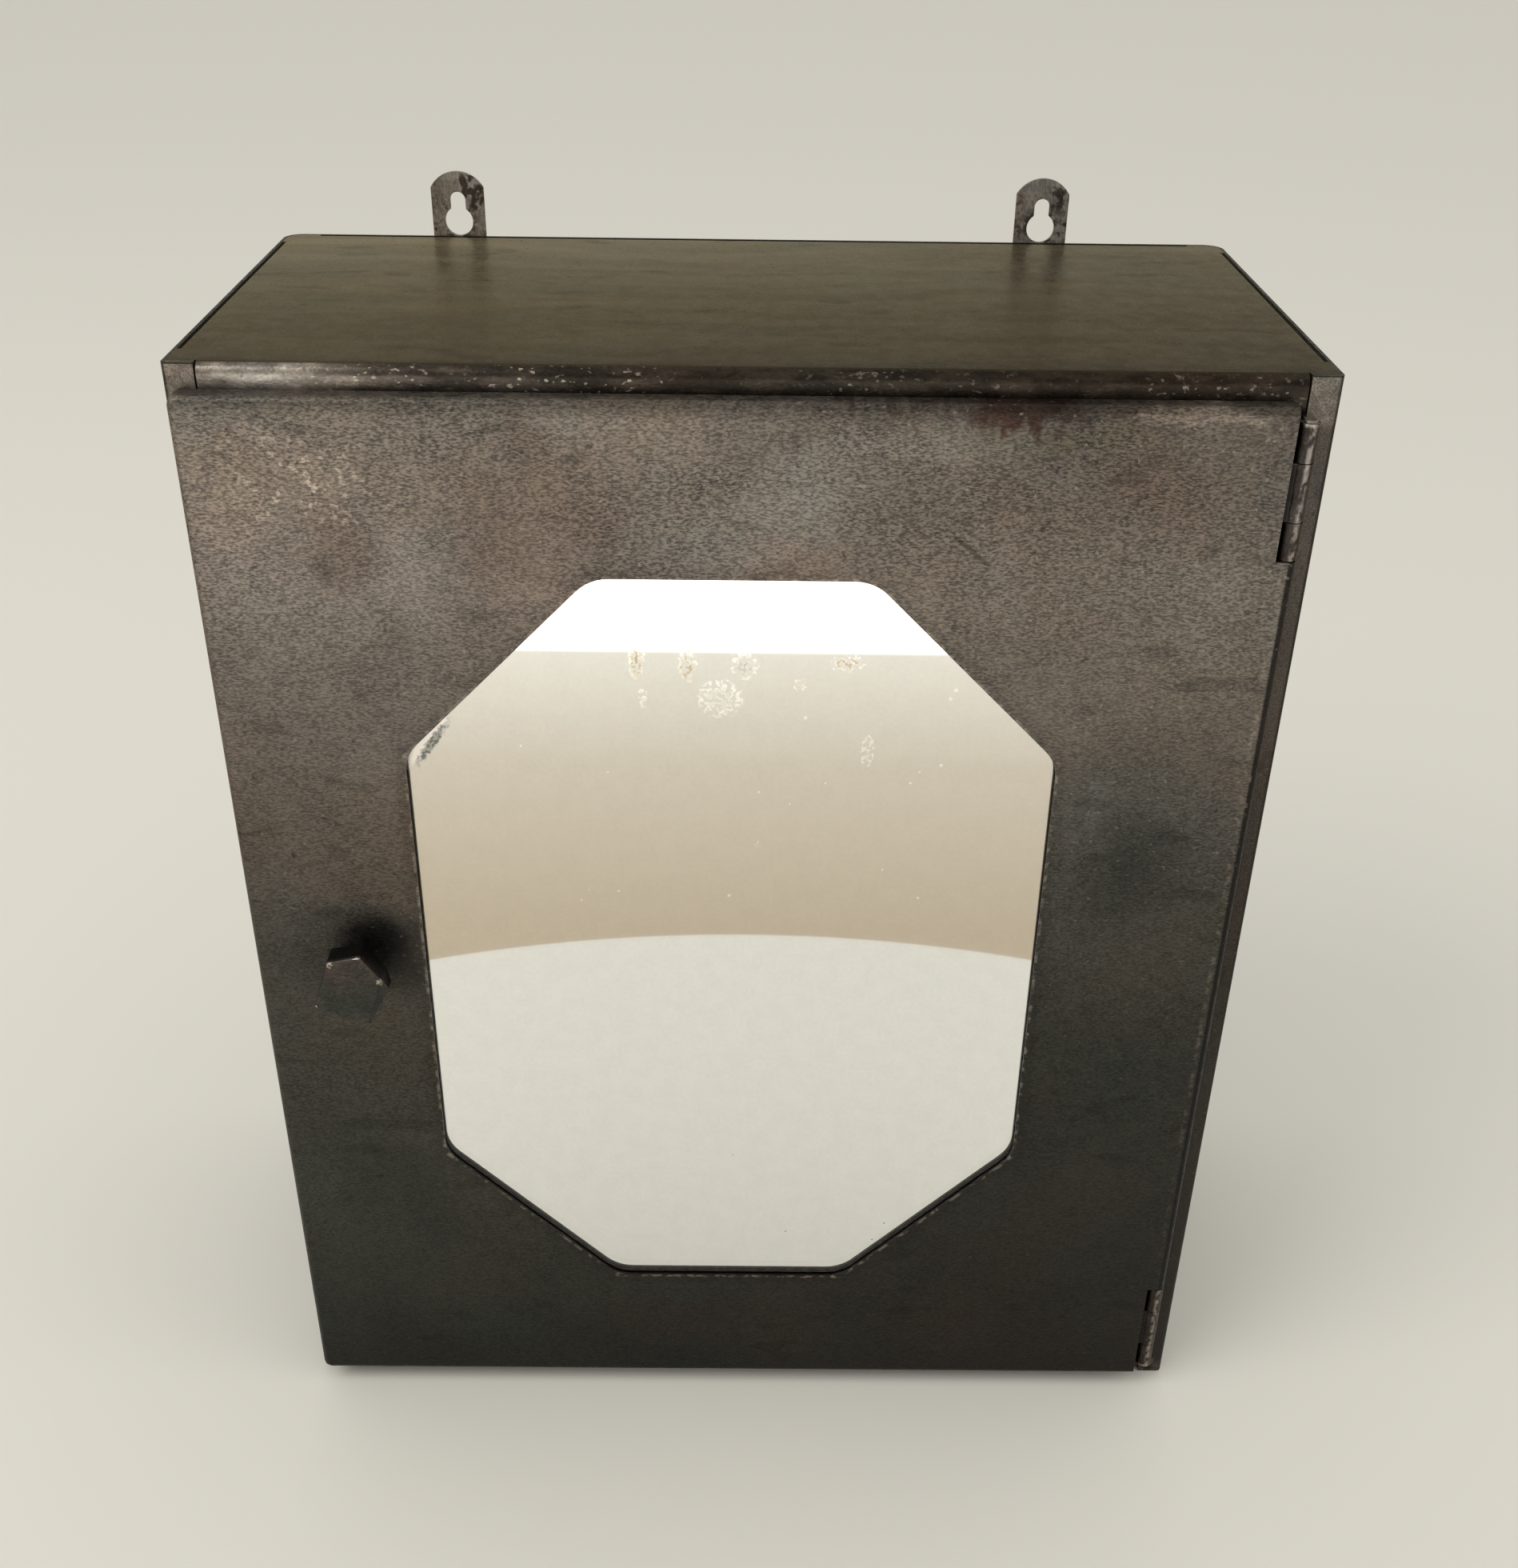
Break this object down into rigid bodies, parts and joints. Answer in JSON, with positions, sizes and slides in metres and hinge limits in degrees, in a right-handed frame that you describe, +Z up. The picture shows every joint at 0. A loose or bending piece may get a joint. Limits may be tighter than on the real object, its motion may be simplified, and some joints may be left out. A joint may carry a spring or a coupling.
{
  "type": "medicine cabinet",
  "caption": "Sheet steel wall cabinet with keyhole hangers, inside shelves and a hinged door that holds an octagonal mirror and a turning latch knob.",
  "frame": {"origin": "centre of the underside of the case, at the middle of its width and depth", "axes": "+X to the right as seen from the front, +Y from the door towards the wall, +Z up"},
  "size_m": [0.36, 0.2034, 0.4534],
  "materials": {
    "patina_steel": "hand rubbed dark patina",
    "dark_steel": "blackened",
    "bare_steel": "plain, dull",
    "mirror": "aged silver behind clear glass",
    "board": "plain hardboard"
  },
  "bodies": {
    "case": {"case_wrap": "patina_steel", "top_panel": "patina_steel", "bottom_panel": "patina_steel", "hanger_left": "patina_steel", "hanger_right": "patina_steel", "hanger_rivets": "bare_steel", "shelf_lower": "patina_steel", "shelf_upper": "patina_steel", "shelf_rail_lower_left": "patina_steel", "shelf_rail_lower_right": "patina_steel", "shelf_rail_upper_left": "patina_steel", "shelf_rail_upper_right": "patina_steel", "hinge_upper_case_leaf": "dark_steel", "hinge_lower_case_leaf": "dark_steel", "hinge_upper_pin": "bare_steel", "hinge_lower_pin": "bare_steel"},
    "door": {"door_pan": "patina_steel", "hinge_upper_door_leaf": "dark_steel", "hinge_lower_door_leaf": "dark_steel", "mirror_glass": "mirror", "mirror_backing": "board", "mirror_clips": "bare_steel"},
    "latch": {"knob_head": "dark_steel", "knob_spindle": "bare_steel", "spindle_sleeve": "bare_steel", "latch_tongue": "bare_steel", "latch_washer": "bare_steel", "latch_nut": "bare_steel"}
  },
  "joints": [
    {"name": "door_swing", "type": "hinge", "parent": "case", "child": "door", "pos_m": [0.1697, -0.0934, 0.215], "axis": [0, 0, 1], "range_deg": [0, 180]},
    {"name": "latch_turn", "type": "hinge", "parent": "door", "child": "latch", "pos_m": [-0.1408, -0.0935, 0.21425], "axis": [0, 1, 0], "range_deg": [0, 90]}
  ]
}
